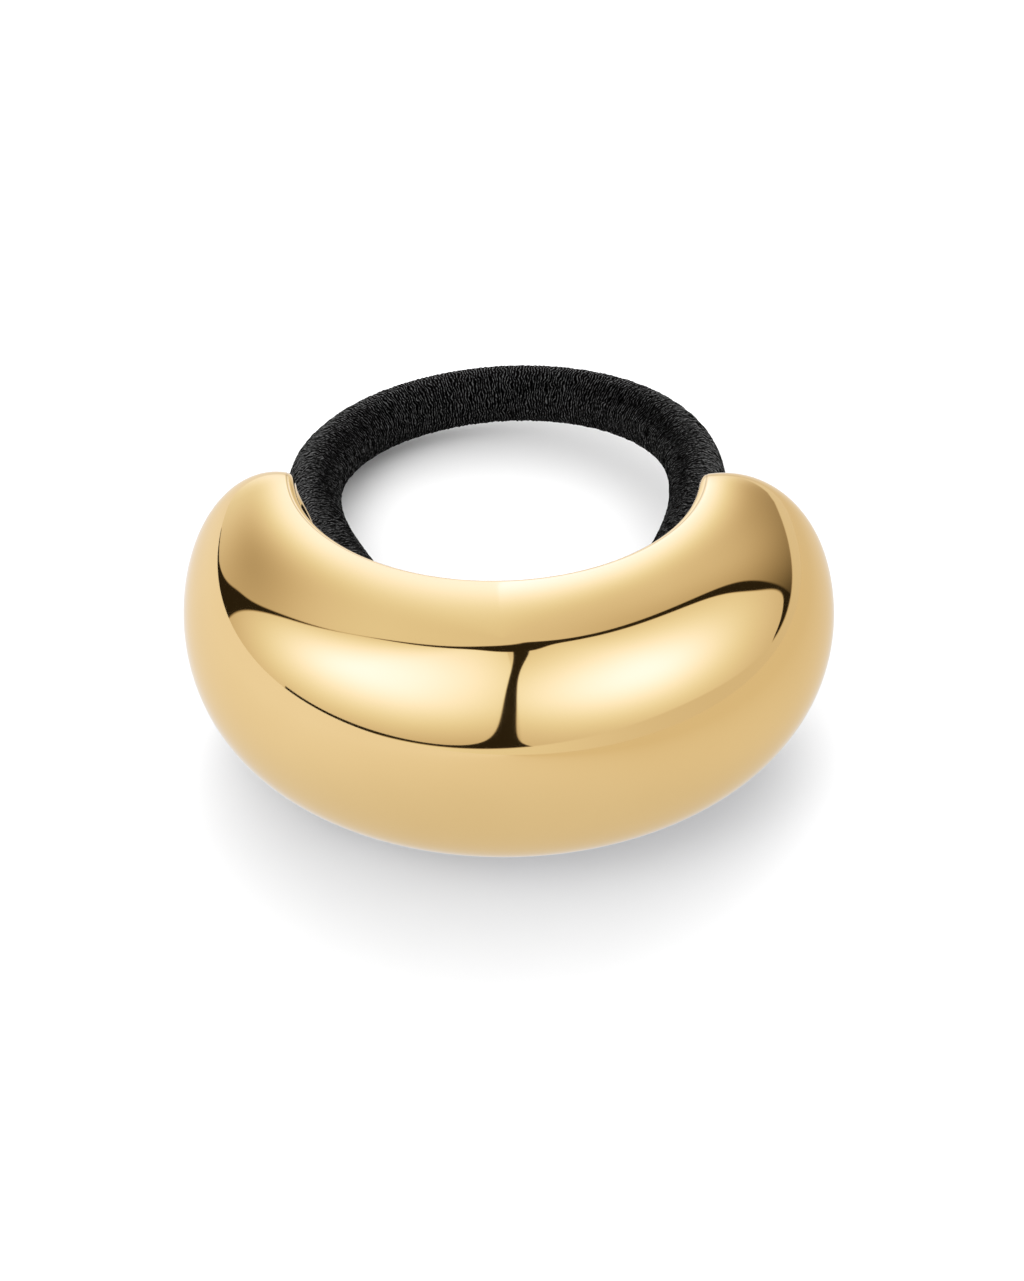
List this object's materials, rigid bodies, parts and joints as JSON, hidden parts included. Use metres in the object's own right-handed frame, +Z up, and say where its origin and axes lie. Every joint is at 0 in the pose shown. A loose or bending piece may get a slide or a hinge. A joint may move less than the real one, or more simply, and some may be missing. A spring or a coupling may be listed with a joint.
{
  "type": "ponytail cuff",
  "caption": "Puffy half-ring dome cuff in polished gold metal, hollow inside, with a black fabric-covered hair elastic looped through it.",
  "frame": {"origin": "on the axis of the ring, level with the surface that the cuff lies on", "axes": "+Z up along the axis of the ring, which the hair passes along; -Y towards the middle of the dome; +Y towards the back of the elastic loop"},
  "size_m": [0.054, 0.0757, 0.0244],
  "materials": {
    "polished_gold": "mirror-polished pale yellow gold plating",
    "black_elastic": "black braided yarn cover with fine crosswise ribs"
  },
  "bodies": {
    "root": {"cuff_shell": "polished_gold", "hair_elastic": "black_elastic"}
  },
  "joints": []
}
